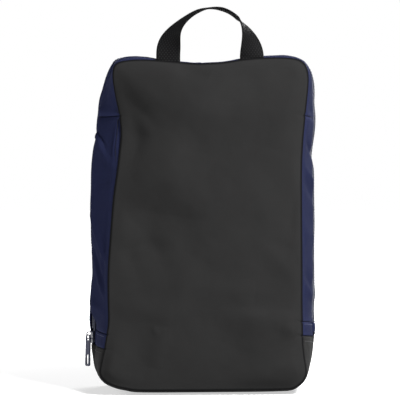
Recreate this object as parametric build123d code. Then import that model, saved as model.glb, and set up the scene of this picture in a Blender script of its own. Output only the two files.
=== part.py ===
"""Golf shoe bag: a soft upright bag for one pair of shoes, with a U-shaped zip round a front lid.

Millimetres, +Z up. The plain back panel faces -Y and the lid faces +Y. The origin is on the floor,
in the middle of the flat base. Cloth pieces are plain closed solids of the right size and place.
"""

from build123d import *
import math
import os

# Driving dimensions
WALL = 2.4  # coated cloth with its backing
BACK_Y, ZIP_BACK_Y, ZIP_FRONT_Y, FRONT_Y = -53.0, 6.5, 23.5, 52.0
BACK_HALF, ZIP_BACK_HALF, ZIP_FRONT_HALF, FRONT_HALF = 103.0, 113.8, 119.8, 112.0
BACK_TOP, ZIP_BACK_TOP, ZIP_FRONT_TOP, FRONT_TOP = 349.0, 355.0, 356.5, 351.0

BOOT_TOP = 50.0  # the hard-wearing boot is black up to here
BAND_TOP = 65.0  # the navy band above it holds the zip's ends
SHOULDER_Z = 290.0  # the side gussets meet the top gusset here
BASE_HALF = 78.0
LID_GAP = 1.0  # clearance between lid and boot at the fold

CORNER_RADII = (18, 26, 60, 100, 26)  # base corner, knee, waist, shoulder, top corner
KNEE_Z, WAIST_Z, LEAN_Z = 18.0, 44.0, 257.0
LEAN = 7.0  # how far the top corners lean in
BASE_INSET = 20.0
KNEE_INSET = 5.0
BACK_BASE_SPREAD = 6.0  # the boot's sides stand more upright at the back seam

# Zip
TAPE_THICK = 0.8
TAPE_HALF = 10.0  # tape width on each side of the zip's centre line
FABRIC_GAP = 4.9  # from the zip's centre line to the cloth edge
BODY_NEAR, COIL_WIDE = 0.8, 1.8
LID_NEAR = 1.8  # more than BODY_NEAR, because the zip's face is turned and the slider's post passes here
COIL_THICK = 2.0
TAPE_END_Z = 44.0
LID_TAPE_END_Z = 65.5
STOP_LENGTH = 2.6
END_TAB_RISE = 1.6  # the folded end tab stands this far out of the band
END_TAB_WIDE = 7.0
END_TAB_Z = (58.0, 69.0)

# Slider, in its own frame: X across the zip, Y up, Z out of the bag
SLIDER_Z = 55.2
SLIDER_LENGTH = 13.0
SLIDER_WIDE, SLIDER_NARROW = 8.4, 6.8
SLIDER_CORNER, SLIDER_EDGE = 1.4, 0.35
PLATE = 1.0
PLATE_OUT = 0.5  # the outer plate's inner face, from the cloth's outer surface
PLATE_IN = -3.2  # the inner plate's inner face
PLATE_TOP = PLATE_OUT + PLATE
POST_WIDE, POST_LONG = 0.9, 4.0
POST_START = 2.2  # from the slider's lower end
POST_SUNK = 0.2  # the post runs this far into each plate
BAIL_WIDE, BAIL_THICK, BAIL_CORNER = 1.2, 1.0, 1.8
BAIL_BOTTOM, BAIL_TOP = -2.2, 6.0
BAIL_OUT = 7.3

# Pull tab
PIVOT_OUT, PIVOT_UP = 5.3, 2.2
PULL_TURN = 38.0  # degrees that the hanging tab's face is turned towards -Y
PULL_TILT = 1.5
PULL_WIDE, PULL_LENGTH, PULL_THICK = 8.0, 34.0, 1.3
PULL_CORNER, PULL_EDGE = 2.2, 0.3
PULL_BAR = 1.3
SHOULDER_IN, SHOULDER_LONG = 1.0, 7.0  # how the tab narrows towards its top bar
PULL_HOLE_WIDE, PULL_HOLE_LONG, PULL_HOLE_CORNER = 4.0, 4.9, 0.8
PULL_SLOT_WIDE, PULL_SLOT_LONG, PULL_SLOT_CORNER = 3.4, 10.5, 1.2
PULL_RIM = 2.0  # metal below the slot

# Handle
WEB_WIDE, WEB_THICK = 25.0, 1.8
HANDLE_X, HANDLE_HALF_SPAN, HANDLE_RISE = 5.5, 43.5, 51.0
HANDLE_BASE_Z = 351.4
HANDLE_POWER = 2.15
TWIST_DONE = 0.78  # share of the rise at which the webbing has turned edge-on
HANDLE_STEPS = 18

BINDING_WIDE, BINDING_THICK = 9.0, 1.3
BINDING_END = 2.0  # the binding stops this far above the boot's edge or the base

ZIP_Y = (ZIP_BACK_Y + ZIP_FRONT_Y) / 2
ZIP_HALF = (ZIP_BACK_HALF + ZIP_FRONT_HALF) / 2
ZIP_TURN = math.degrees(math.atan2(ZIP_FRONT_HALF - ZIP_BACK_HALF, ZIP_FRONT_Y - ZIP_BACK_Y))
BIG = 500.0


def outline(y, half, top, inset=0.0, base_spread=0.0):
    """Closed outline of the bag at depth y, moved inwards by inset."""
    right = [
        (half - BASE_INSET + base_spread, 0),
        (half - KNEE_INSET + base_spread, KNEE_Z),
        (half, WAIST_Z),
        (half, LEAN_Z),
        (half - LEAN, top),
    ]
    points = right + [(-x, z) for x, z in reversed(right)]
    radii = list(CORNER_RADII) + list(reversed(CORNER_RADII))
    wire = Wire(FilletPolyline(*[(x, -z) for x, z in points], radius=radii, close=True).edges())
    if inset:
        wire = wire.offset_2d(-inset)
    # sketch Y points down the world's Z, because the sketch plane faces +Y
    return Plane(origin=(0, y, 0), x_dir=(1, 0, 0), z_dir=(0, 1, 0)) * make_face(wire)


def bag_solid(inset, back_y, front_y):
    """The whole bag as one solid with its sides moved inwards by inset."""
    sections = [
        outline(back_y, BACK_HALF, BACK_TOP, inset, base_spread=BACK_BASE_SPREAD),
        outline(ZIP_BACK_Y, ZIP_BACK_HALF, ZIP_BACK_TOP, inset),
        outline(ZIP_FRONT_Y, ZIP_FRONT_HALF, ZIP_FRONT_TOP, inset),
        outline(front_y, FRONT_HALF, FRONT_TOP, inset),
    ]
    return loft(sections, ruled=True)


def between(x=(-BIG, BIG), y=(-BIG, BIG), z=(-BIG, BIG)):
    """A box between limits on each axis."""
    size = [hi - lo for lo, hi in (x, y, z)]
    middle = [(hi + lo) / 2 for lo, hi in (x, y, z)]
    return Pos(*middle) * Box(*size)


def ring(outer, inner, **limits):
    """The part of a shell between two bag solids that lies within limits."""
    return (outer - inner) & between(**limits)


OUTER = bag_solid(0, BACK_Y, FRONT_Y)
INNER = bag_solid(WALL, BACK_Y + WALL, FRONT_Y - WALL)
SIDE_Y = (BACK_Y + WALL, FRONT_Y - WALL)
HINGE_BOTTOM = BOOT_TOP + LID_GAP


def cloth_of_the_body():
    """Back panel, gusset pieces, bands, boot and base."""
    shell = OUTER - INNER
    gusset_y = (SIDE_Y[0], ZIP_Y - FABRIC_GAP)
    sides = {"left": (-BIG, 0), "right": (0, BIG)}
    pieces = {"back_panel": shell & between(y=(-BIG, SIDE_Y[0]))}
    pieces["boot_front"] = shell & between(y=(SIDE_Y[1], BIG), z=(-BIG, BOOT_TOP))
    pieces["base_panel"] = between(x=(-BASE_HALF, BASE_HALF), y=SIDE_Y, z=(0, WALL))
    pieces["top_gusset"] = shell & between(y=gusset_y, z=(SHOULDER_Z, BIG))
    for side, half in sides.items():
        boot = shell & between(x=half, y=SIDE_Y, z=(-BIG, BOOT_TOP))
        pieces[f"boot_{side}"] = boot - between(x=(-BASE_HALF, BASE_HALF), z=(-WALL, 2 * WALL))
        pieces[f"side_band_{side}"] = shell & between(x=half, y=gusset_y, z=(BOOT_TOP, BAND_TOP))
        pieces[f"side_gusset_{side}"] = shell & between(x=half, y=gusset_y, z=(BAND_TOP, SHOULDER_Z))
    return pieces


def cloth_of_the_lid():
    """Front panel and the narrow front half of the gusset."""
    shell = OUTER - INNER
    strip_y = (ZIP_Y + FABRIC_GAP, SIDE_Y[1])
    pieces = {"lid_panel": shell & between(y=(SIDE_Y[1], BIG), z=(HINGE_BOTTOM, BIG))}
    pieces["lid_gusset_top"] = shell & between(y=strip_y, z=(SHOULDER_Z, BIG))
    for side, half in {"left": (-BIG, 0), "right": (0, BIG)}.items():
        pieces[f"lid_gusset_{side}"] = shell & between(x=half, y=strip_y, z=(HINGE_BOTTOM, SHOULDER_Z))
    return pieces


def zip_chain():
    """Two tapes inside the gusset edges, and the nylon coil that each carries."""
    tape_outer = bag_solid(WALL, BACK_Y + WALL, FRONT_Y - WALL)
    tape_inner = bag_solid(WALL + TAPE_THICK, BACK_Y + WALL, FRONT_Y - WALL)
    coil_outer = OUTER
    coil_inner = bag_solid(COIL_THICK, BACK_Y + WALL, FRONT_Y - WALL)
    bottoms = {"body": TAPE_END_Z, "lid": LID_TAPE_END_Z}
    coil_bottoms = {"body": BOOT_TOP + STOP_LENGTH, "lid": LID_TAPE_END_Z + STOP_LENGTH}
    body_edge, lid_edge = ZIP_Y - BODY_NEAR, ZIP_Y + LID_NEAR
    spans = {
        "body": ((ZIP_Y - TAPE_HALF, body_edge), (body_edge - COIL_WIDE, body_edge)),
        "lid": ((lid_edge, ZIP_FRONT_Y), (lid_edge, lid_edge + COIL_WIDE)),
    }
    pieces = {}
    for side, (tape_y, coil_y) in spans.items():
        pieces[f"zip_tape_{side}"] = ring(tape_outer, tape_inner, y=tape_y, z=(bottoms[side], BIG))
        coil = ring(coil_outer, coil_inner, y=coil_y, z=(coil_bottoms[side], BIG))
        pieces[f"zip_coil_{side}"] = coil
        stop_z = (coil_bottoms[side] - STOP_LENGTH, coil_bottoms[side])
        pieces[f"zip_stop_{side}"] = ring(coil_outer, coil_inner, x=(-BIG, 0), y=coil_y, z=stop_z)
    return pieces


def zip_end_tab():
    """Folded cloth tab that covers the zip's fixed end on the right side."""
    cover = bag_solid(-END_TAB_RISE, BACK_Y, FRONT_Y)
    return ring(cover, OUTER, x=(0, BIG), y=(ZIP_Y - END_TAB_WIDE, ZIP_Y - BODY_NEAR), z=END_TAB_Z)


def bindings():
    """Woven tape over the raw seam edges inside, along the back seam and along the lid's seam."""
    outer = bag_solid(WALL, BACK_Y + WALL, FRONT_Y - WALL)
    inner = bag_solid(WALL + BINDING_THICK, BACK_Y + WALL, FRONT_Y - WALL)
    back_y = (SIDE_Y[0], SIDE_Y[0] + BINDING_WIDE)
    lid_y = (SIDE_Y[1] - BINDING_WIDE, SIDE_Y[1])
    return {
        "back_seam_binding": ring(outer, inner, y=back_y, z=(WALL + BINDING_END, BIG)),
        "lid_seam_binding": ring(outer, inner, y=lid_y, z=(HINGE_BOTTOM + BINDING_END, BIG)),
    }


def outward_plane(origin, turn):
    """Sketch frame on the left side: X to the back, Y up, Z outwards, turned by degrees towards -Y."""
    angle = math.radians(turn)
    across = (math.sin(angle), -math.cos(angle), 0)
    outwards = (-math.cos(angle), -math.sin(angle), 0)
    return Plane(origin=origin, x_dir=across, z_dir=outwards)


def slider_plate(bottom):
    """One shield-shaped plate of the slider, wide end down."""
    half = SLIDER_LENGTH / 2
    shield = Polyline(
        (-SLIDER_WIDE / 2, -half),
        (SLIDER_WIDE / 2, -half),
        (SLIDER_WIDE / 2, 0),
        (SLIDER_NARROW / 2, half),
        (-SLIDER_NARROW / 2, half),
        (-SLIDER_WIDE / 2, 0),
        close=True,
    )
    plate = Pos(0, 0, bottom) * extrude(make_face(shield), PLATE)
    return fillet(plate.edges().filter_by(Axis.Z), SLIDER_CORNER)


def slider_solid():
    """Two plates joined by the post between the two coils."""
    outer_plate = slider_plate(PLATE_OUT)
    inner_plate = slider_plate(PLATE_IN - PLATE)
    outer_plate = chamfer(outer_plate.faces().sort_by(Axis.Z)[-1].edges(), SLIDER_EDGE)
    middle = -SLIDER_LENGTH / 2 + POST_START + POST_LONG / 2
    tall = PLATE_OUT - PLATE_IN + 2 * POST_SUNK
    post = Pos(0, middle, (PLATE_OUT + PLATE_IN) / 2) * Box(POST_WIDE, POST_LONG, tall)
    return outer_plate + inner_plate + post


def bail_solid():
    """Bridge on the outer plate that the pull tab hangs from."""
    long, rise = BAIL_TOP - BAIL_BOTTOM, BAIL_OUT - PLATE_TOP
    inner = RectangleRounded(long - 2 * BAIL_THICK, 2 * (rise - BAIL_THICK), BAIL_CORNER - BAIL_THICK)
    loop = RectangleRounded(long, 2 * rise, BAIL_CORNER) - inner
    arch = loop & Pos(0, rise / 2) * Rectangle(long, rise)
    upright = Plane(origin=(0, 0, 0), x_dir=(0, 1, 0), z_dir=(1, 0, 0))
    section = upright * Pos((BAIL_TOP + BAIL_BOTTOM) / 2, PLATE_TOP) * arch
    return extrude(section, BAIL_WIDE / 2, both=True)


def pull_solid():
    """Flat metal tab. Its top bar, on the origin, lies under the bail, and the tab hangs down from it."""
    blank = Pos(0, PULL_BAR / 2 - PULL_LENGTH / 2) * RectangleRounded(PULL_WIDE, PULL_LENGTH, PULL_CORNER)
    side, top = PULL_WIDE / 2, PULL_BAR
    shoulder = Polyline((side - SHOULDER_IN, top), (side + 1, top), (side + 1, -SHOULDER_LONG), close=True)
    cut = make_face(shoulder)
    hole_y = -PULL_BAR / 2 - PULL_HOLE_LONG / 2
    hole = Pos(0, hole_y) * RectangleRounded(PULL_HOLE_WIDE, PULL_HOLE_LONG, PULL_HOLE_CORNER)
    slot_y = PULL_BAR / 2 - PULL_LENGTH + PULL_RIM + PULL_SLOT_LONG / 2
    slot = Pos(0, slot_y) * RectangleRounded(PULL_SLOT_WIDE, PULL_SLOT_LONG, PULL_SLOT_CORNER)
    face = blank - cut - mirror(cut, Plane.YZ) - hole - slot
    tab = extrude(face, PULL_THICK / 2, both=True)
    rims = tab.faces().sort_by(Axis.Z)[-1].outer_wire().edges()
    return chamfer(rims, PULL_EDGE)


def webbing_section(share):
    """Rectangle across the handle's webbing at a share, 0 to 1, of the way over the arch."""
    angle = math.pi * share
    reach = abs(math.cos(angle)) ** (2 / HANDLE_POWER) * (1 if share < 0.5 else -1)
    rise = math.sin(angle) ** (2 / HANDLE_POWER)
    centre = Vector(HANDLE_X - HANDLE_HALF_SPAN * reach, BACK_Y, HANDLE_BASE_Z + HANDLE_RISE * rise)
    slope_x = abs(reach) ** (HANDLE_POWER - 1) * (-1 if share < 0.5 else 1) / HANDLE_HALF_SPAN
    slope_z = rise ** (HANDLE_POWER - 1) / HANDLE_RISE
    outwards = Vector(slope_x, 0, slope_z).normalized()
    twist = math.radians(90 * min(1, rise / TWIST_DONE))
    across = outwards * math.cos(twist) + Vector(0, 1, 0) * math.sin(twist)
    along = Vector(outwards.Z, 0, -outwards.X)
    return Plane(origin=centre, x_dir=across, z_dir=along) * Rectangle(WEB_WIDE, WEB_THICK)


def handle_solid():
    """One length of flat webbing that stands up from the back seam and turns edge-on over the top."""
    sections = [webbing_section(i / HANDLE_STEPS) for i in range(HANDLE_STEPS + 1)]
    return loft(sections, ruled=True)


def zip_hardware():
    """Slider, bail and pull tab at the lower end of the left side."""
    on_cloth = outward_plane((-ZIP_HALF, ZIP_Y, SLIDER_Z), ZIP_TURN)
    pivot = on_cloth.origin + on_cloth.z_dir * PIVOT_OUT + Vector(0, 0, PIVOT_UP)
    hanging = outward_plane(tuple(pivot), PULL_TURN)
    print("pull pivot", tuple(pivot), "axis", tuple(-hanging.x_dir))
    return {
        "slider_body": on_cloth * slider_solid(),
        "slider_bail": on_cloth * bail_solid(),
        "pull_tab": hanging * (Rot(-PULL_TILT, 0, 0) * pull_solid()),
    }


def all_pieces():
    """Every node's name and solid."""
    pieces = {}
    pieces.update(cloth_of_the_body())
    pieces.update(cloth_of_the_lid())
    pieces.update(zip_chain())
    pieces["zip_end_tab"] = zip_end_tab()
    pieces.update(bindings())
    pieces.update(zip_hardware())
    pieces["handle_webbing"] = handle_solid()
    return pieces


os.makedirs("parts", exist_ok=True)
for name, solid in all_pieces().items():
    export_step(solid, f"parts/{name}.step")
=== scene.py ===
"""Looks of the golf shoe bag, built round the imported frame. Lengths are millimetres until a mesh is made."""

import math

import bmesh
import bpy
import numpy as np
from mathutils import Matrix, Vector, geometry, noise


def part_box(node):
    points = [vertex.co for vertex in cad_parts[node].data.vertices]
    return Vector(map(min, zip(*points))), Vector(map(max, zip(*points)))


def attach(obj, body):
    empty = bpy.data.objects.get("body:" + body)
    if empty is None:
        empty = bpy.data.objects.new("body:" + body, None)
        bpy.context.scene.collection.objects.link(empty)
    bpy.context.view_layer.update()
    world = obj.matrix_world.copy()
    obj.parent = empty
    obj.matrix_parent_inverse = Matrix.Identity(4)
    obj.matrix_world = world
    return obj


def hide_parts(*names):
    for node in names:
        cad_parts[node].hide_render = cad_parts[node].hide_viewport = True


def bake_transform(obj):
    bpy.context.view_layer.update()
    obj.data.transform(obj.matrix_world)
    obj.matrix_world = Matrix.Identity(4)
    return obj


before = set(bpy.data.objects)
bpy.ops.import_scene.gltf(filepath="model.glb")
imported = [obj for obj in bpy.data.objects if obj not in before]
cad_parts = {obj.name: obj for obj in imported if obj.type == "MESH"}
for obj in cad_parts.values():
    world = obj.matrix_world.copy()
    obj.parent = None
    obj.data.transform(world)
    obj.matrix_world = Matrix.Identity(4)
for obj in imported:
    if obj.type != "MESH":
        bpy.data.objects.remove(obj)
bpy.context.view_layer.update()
MM = 0.001


def low(node):
    """Lowest corner of a CAD node, in millimetres."""
    return np.array(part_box(node)[0]) / MM


def high(node):
    """Highest corner of a CAD node, in millimetres."""
    return np.array(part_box(node)[1]) / MM


# ---- places, from the frame
BACK_Y = low("back_panel")[1]
FRONT_Y = high("lid_panel")[1]
BODY_EDGE_Y = high("side_gusset_left")[1]
LID_EDGE_Y = low("lid_gusset_left")[1]
ZIP_Y = (BODY_EDGE_Y + LID_EDGE_Y) / 2
HINGE = np.array([0, FRONT_Y, high("boot_front")[2] + 0.5])
BASE_HALF = high("base_panel")[0]
SHOULDER_Z = high("side_gusset_left")[2]
BOOT_Z = high("boot_left")[2]
BAND_Z = high("side_band_left")[2]
RIDGE_Y = 23.5  # depth where the bag is widest
ZIP_BACK_Y = 6.5  # depth of the zip's back edge
CLOTH = 1.2  # thickness of one layer
RIB_PITCH, PICK_PITCH = 1.6, 2  # the webbing's ribs across it, and its picks along it


# ---- small helpers
def unit(vectors):
    """Vectors scaled to length 1."""
    return vectors / np.maximum(np.linalg.norm(vectors, axis=-1, keepdims=True), 1e-9)


def lengths(path):
    """Length along a path at each of its points."""
    return np.append(0, np.cumsum(np.linalg.norm(np.diff(path, axis=0), axis=1)))


def read(at, along, values):
    """What a path's rows of values are at some lengths along it."""
    return np.stack([np.interp(at, along, row) for row in values.T], 1)


def bell(distance, width, power=2):
    """1 at no distance, and falling towards 0 beyond the width."""
    return np.exp(-(np.abs(distance / width) ** power))


def ramp(value, middle, width):
    """A soft step from 0 up to 1 about the middle, or down from 1 to 0 if the width is negative."""
    return 1 / (1 + np.exp((middle - value) / width))


def between(value, start, end):
    """0 up to the start, 1 from the end on, and even in between."""
    return np.clip((value - start) / (end - start), 0, 1)


# ---- rails: outlines at four depths
# Each rail runs from the middle of the base, round one side, to the middle of the top, as (x, z).
BACK_LEFT = [
    (0, 3.6), (-50, 3.6), (-72, 4.1), (-82, 5.8), (-90, 7.4), (-97.6, 10), (-103.6, 13.2), (-107.8, 17.6),
    (-110, 24), (-108.2, 35), (-105.4, 48.5), (-103, 63), (-101.2, 77), (-101.6, 100), (-101.4, 130),
    (-98.8, 168), (-96, 203), (-91.5, 236), (-88.6, 262), (-88.2, 276), (-90.3, 293), (-93.6, 308),
    (-96.4, 324), (-96.6, 336), (-93.4, 343.8), (-84, 347.6), (-66, 349), (-42, 347.8), (-12, 345.2),
    (0, 345.2),
]
BACK_RIGHT = [
    (0, 3.6), (55, 3.8), (78, 4.2), (90, 4.8), (97, 7.6), (103.4, 13), (106.8, 19.6), (107, 27),
    (104.8, 42), (103.2, 65), (102.6, 140), (102.2, 225), (103.2, 258), (105.2, 282), (107.2, 302),
    (109, 320), (109, 333), (105.6, 343.6), (98, 349.4), (84, 351.6), (62, 351.4), (40, 349.6),
    (20, 346.6), (0, 345.2),
]
RIDGE_LEFT = [
    (0, 0.8), (-65, 1), (-80, 2.2), (-90, 4), (-101, 7), (-108.2, 11), (-112.4, 15.4), (-115.4, 22.1),
    (-117.2, 31.3), (-119.4, 46.8), (-120.7, 65.5), (-121.4, 74), (-120.9, 83), (-119.8, 100),
    (-119, 109), (-117.2, 126), (-117.2, 135), (-118.6, 152), (-119.5, 164), (-119.5, 221),
    (-118.3, 238.7), (-116.4, 256), (-114.6, 264.7), (-112.6, 273.5), (-112.8, 282), (-111.8, 290.7),
    (-110, 299.3), (-109, 308), (-106.6, 316.6), (-103.2, 325.3), (-100.4, 333.9), (-97.8, 346.4),
    (-95.8, 350.8), (-93.6, 353.4), (-89, 355.6), (-80, 357), (-66, 356.6), (-56, 354.4), (-44, 352),
    (-20, 350), (0, 350),
]
RIDGE_RIGHT = [
    (0, 0.8), (65, 0.8), (90, 2), (102, 6.2), (112.2, 11.6), (118.2, 22), (121.4, 34), (123.2, 48),
    (124.8, 62), (123.7, 76), (123.8, 90), (124.8, 101), (124, 114), (123.5, 150), (124.1, 178),
    (123.6, 204), (123.4, 232), (122, 243), (120.8, 250), (122.4, 264), (124.6, 280), (125.1, 294),
    (123.9, 309), (124.2, 318), (123.4, 331), (119.2, 344.8), (110.4, 353.8), (95.6, 357.4), (70, 357),
    (44, 355), (20, 351), (0, 350),
]
FRONT_SIDE = [
    (0, 0.8), (60, 0.8), (84, 1.6), (97, 7), (105, 18), (109.5, 33), (111.4, 50), (111.8, 90), (112, 180),
    (111.4, 250), (110, 290), (107.5, 318), (103, 335), (94, 346), (80, 350.6), (50, 351.6), (0, 352),
]
ZIP_STEP = 6  # how much narrower the bag is at the zip's back edge than at the ridge
ZIP_SINK = 1.2  # and how much lower over the top
SLIDER_LINE = 116.2  # how far out the zip lies along the slider's travel
SLIDER_LOW, SLIDER_HIGH = (36, 46), (250, 264)  # heights over which the zip bends into and out of that line


def moved_in(points):
    """A rail moved towards the bag's middle, least at the base."""
    x, z = np.array(points, float).T
    step = ZIP_STEP * between(z, 0, 60) * between(np.abs(x), 0, 100)
    return np.stack([x - np.copysign(step, x), z - ZIP_SINK * between(z, 300, 350)], 1)


def beside_slider(points):
    """The left rail behind the zip: where the slider runs, the zip between it and the ridge is straight."""
    rail = moved_in(points)
    x, z = rail.T
    share = between(z, *SLIDER_LOW) * (1 - between(z, *SLIDER_HIGH))
    rail[:, 0] += (-2 * SLIDER_LINE - np.array(points)[:, 0] - x) * share
    return rail


RAIL_Y = [BACK_Y, ZIP_BACK_Y, RIDGE_Y, FRONT_Y]
RAILS = {
    "left": [BACK_LEFT, beside_slider(RIDGE_LEFT), RIDGE_LEFT, np.array(FRONT_SIDE) * (-1, 1)],
    "right": [BACK_RIGHT, moved_in(RIDGE_RIGHT), RIDGE_RIGHT, FRONT_SIDE],
}
# how far the top edges of the boot and the band lie above the CAD's, at the four depths
BOOT_EDGE = {"left": [-2, -3, -3, 0.5], "right": [11, 5.5, 5, 0.5]}
BAND_EDGE = {"left": [-2, -2, -2, 0], "right": [10, 5, 4, 0]}
# number of samples along each segment of a rail
SAMPLES = {"floor": 36, "boot": 52, "band": 14, "side": 170, "top": 130}
ENDS = np.cumsum([0] + [count - 1 for count in SAMPLES.values()]).tolist()
ROWS = dict(zip(SAMPLES, zip(ENDS, ENDS[1:])))  # first and last sample number of each segment


def spline(points, count=1600):
    """Dense Catmull-Rom curve through the points."""
    p = np.array(points, float)
    p = np.vstack([2 * p[0] - p[1], p, 2 * p[-1] - p[-2]])
    per = max(2, count // (len(p) - 3))
    t = np.linspace(0, 1, per, endpoint=False)[:, None]
    rows = []
    for a, b, c, d in zip(p[:-3], p[1:-2], p[2:-1], p[3:]):
        curve = (2 * a - 5 * b + 4 * c - d) * t**2 + (3 * b - a - 3 * c + d) * t**3
        rows.append(0.5 * (2 * b + (c - a) * t + curve))
    return np.vstack(rows + [p[-2:-1]])


def resampled(path, count, closer_at_ends=0.5):
    """count points along a path, set somewhat closer together near its ends."""
    along = lengths(path)
    t = np.linspace(0, 1, count)
    t = (1 - closer_at_ends) * t + closer_at_ends * (0.5 - 0.5 * np.cos(np.pi * t))
    return read(t * along[-1], along, path)


def cut_rail(points, boot_z, band_z):
    """A rail as one row of samples, with the pieces' borders at the same sample numbers on every rail."""
    path = spline(points)
    cuts = [0, int(np.argmax(np.abs(path[:, 0]) >= BASE_HALF))]
    for level in (boot_z, band_z, SHOULDER_Z):
        cuts.append(int(np.argmax(path[:, 1] >= level)))
    cuts.append(len(path) - 1)
    parts = [resampled(path[a : b + 1], count) for count, a, b in zip(SAMPLES.values(), cuts, cuts[1:])]
    return np.vstack([parts[0]] + [p[1:] for p in parts[1:]])


def depth_samples():
    """Depths of the shell's columns: closer together at both seams and at the zip's cloth edges."""
    lip = np.array([0, 0.35, 0.8, 1.4, 2.2, 3.2, 4.5])
    edges = [BACK_Y + lip, FRONT_Y - lip]
    for edge, way in ((BODY_EDGE_Y, -1), (LID_EDGE_Y, 1)):
        edges.append(edge + way * np.array([0, 0.4, 0.9, 1.6, 2.4, 3.2, 4.2]))
    middle = np.arange(BACK_Y + 6, FRONT_Y - 5, 1.6)
    clear = [y for y in middle if min(abs(y - e) for row in edges for e in row) > 0.7]
    return np.unique(np.round(np.concatenate(edges + [clear, [ZIP_Y]]), 3))


DEPTHS = depth_samples()
SMOOTHING = 3  # depth over which the shell's corners between the rails are rounded


def column(y):
    """Number of the shell's column that is nearest to a depth."""
    return int(np.argmin(np.abs(DEPTHS - y)))


def smoothed(values):
    """Rows of a surface averaged along the depth with a Gaussian, with both ends kept."""
    weight = bell(DEPTHS[:, None] - DEPTHS[None, :], SMOOTHING) * np.gradient(DEPTHS)
    weight /= weight.sum(1, keepdims=True)
    mixed = np.einsum("jk,ikc->ijc", weight, values)
    hold = np.exp(-np.minimum(DEPTHS - DEPTHS[0], DEPTHS[-1] - DEPTHS) / SMOOTHING)[None, :, None]
    return values * hold + mixed * (1 - hold)


def surface_normals(p, side):
    """Outward unit normals of a grid of points."""
    n = unit(np.cross(np.gradient(p, axis=0), np.gradient(p, axis=1)))
    return n if side == "left" else -n


# ---- folds
def beside_line(u, v, start, end):
    """Where points lie by a line: the share of its length, the distance to its left, and that length."""
    way = np.subtract(end, start)
    length = np.linalg.norm(way)
    a, b = way / length
    u, v = u - start[0], v - start[1]
    return (u * a + v * b) / length, v * a - u * b, length


def fold(u, v, start, end, width, height, skew=0):
    """A soft ridge (height over 0) or valley from start to end. skew makes one flank steeper."""
    along, across, length = beside_line(u, v, start, end)
    taper = np.clip(1 - (2 * along - 1) ** 2, 0, 1) ** 0.8
    past_end = np.maximum(0, np.abs(along - 0.5) - 0.5) * length
    shape = bell(across, width) * (1 + skew * np.tanh(2 * across / width))
    return height * shape * np.maximum(taper, 0.25 * bell(past_end, width))


def step_down(u, v, start, end, width, depth, recover):
    """A drop to the right of the line from start to end. It rises back slowly over the length recover."""
    along, across, _ = beside_line(u, v, start, end)
    taper = bell(np.maximum(0, np.abs(along - 0.5) - 0.22), 0.3)
    return -depth * ramp(across, 0, -width) * np.exp(-np.maximum(0, -across) / recover) * taper


def mound(u, v, centre, size, height):
    """A broad soft rise (height over 0) or dent."""
    return height * bell(u - centre[0], size[0]) * bell(v - centre[1], size[1])


def ripples(u, v, scale, seed):
    """Smooth random unevenness between -1 and 1."""
    flat = np.stack([u.ravel() / scale, v.ravel() / scale], 1)
    values = [noise.noise(Vector((a, b, seed))) for a, b in flat]
    return np.array(values).reshape(u.shape)


def unevenness(u, v, layers, seed):
    """Sum of layers of ripples, each given as (height, scale)."""
    return sum(height * ripples(u, v, scale, seed + k) for k, (height, scale) in enumerate(layers))


# (start, end, width, height, skew if any) with start and end as (depth, height), on each side of the gusset
SIDE_FOLDS = {
    "left": [
        ((-60, 289.5), (14, 291), 3.2, -1.6),
        ((-50, 297), (8, 297), 5, 1),
        ((6, 286), (-31, 254), 2.4, -2.6, 0.4),
        ((2, 276), (-40, 238), 6, 2.4),
        ((-46, 284), (-44, 246), 3.2, 2.2),
        ((-30, 318), (4, 300), 5, -1.6),
        ((-8, 186), (-46, 138), 5, 3.4, 0.3),
        ((0, 160), (-40, 112), 5.5, -3),
        ((-6, 150), (-44, 98), 4, 2.2),
        ((-10, 215), (-44, 226), 7, -2.2),
        ((-44, 196), (-40, 100), 6, -1.5),
        ((-4, 96), (-42, 84), 5, 1.3),
    ],
    "right": [
        ((-46, 236), (2, 214), 5, 2, 0.3),
        ((-48, 224), (0, 200), 6, -1.8),
        ((-50, 112), (4, 90), 5.5, 2, 0.3),
        ((-48, 128), (0, 104), 6, -1.6),
        ((-46, 300), (6, 288), 5, -1.5),
        ((-40, 262), (8, 250), 4, -1.7),
        ((-44, 170), (0, 158), 7, 1.2),
    ],
}
LID_FOLDS = [
    ((28, 250), (50, 268), 4, -1.2),
    ((26, 150), (50, 132), 5, 1),
    ((28, 92), (50, 104), 4, -1),
    ((30, 205), (50, 196), 5, -0.9),
]
PUFF = {"body": 2.4, "lid": 1.6}
# beside the zip the gusset bulges out to this far beyond the ridge, between two heights
ROLL = {"left": (0.5, 77, 330), "right": (-4.4, 110, 300)}
ROLL_Y = -6  # depth where it bulges out the most
# how far the back seam is drawn into the bag at some heights: (height, spread, depth)
SEAM_SINK = {
    "left": [(286, 42, 19), (208, 48, 9), (146, 40, 5.5), (70, 46, 4)],
    "right": [(246, 30, 1.2), (96, 20, 1.5)],
}
SINK_ON_PANEL, SINK_ON_GUSSET = 30, 26  # how far from the seam the panel and the gusset follow it
HEEL, HEEL_ROUND = 2.8, 7  # how far the bottom's back edge stands off the floor, and how far in it is rounded
SIDE_TOP = 335  # height where a side turns over to the top
TOP_SAG, TOP_SAG_MIDDLE = 0.8, 1.7  # how far the top gusset sags, and how much more between the handle's feet
HANDLE_REACH = 56
GUSSET_RIPPLES = [(0.7, 24), (0.25, 9)]  # (height, scale)
GUSSET_SEED = {"left": 3, "right": 8}
ZIP_CALM = 11  # the cloth lies smooth this near to the zip
FLOOR_CALM = (24, 6)  # and below this height, with a soft step this wide
SEAM_DIP = 2  # how deep the cloth dips at the back and front seams
# seams across the gusset, at the end of a segment: (segment, depth, width)
GROOVES = [("boot", 1, 0.9), ("band", 0.8, 0.9), ("side", 0.9, 1.7)]


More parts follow.
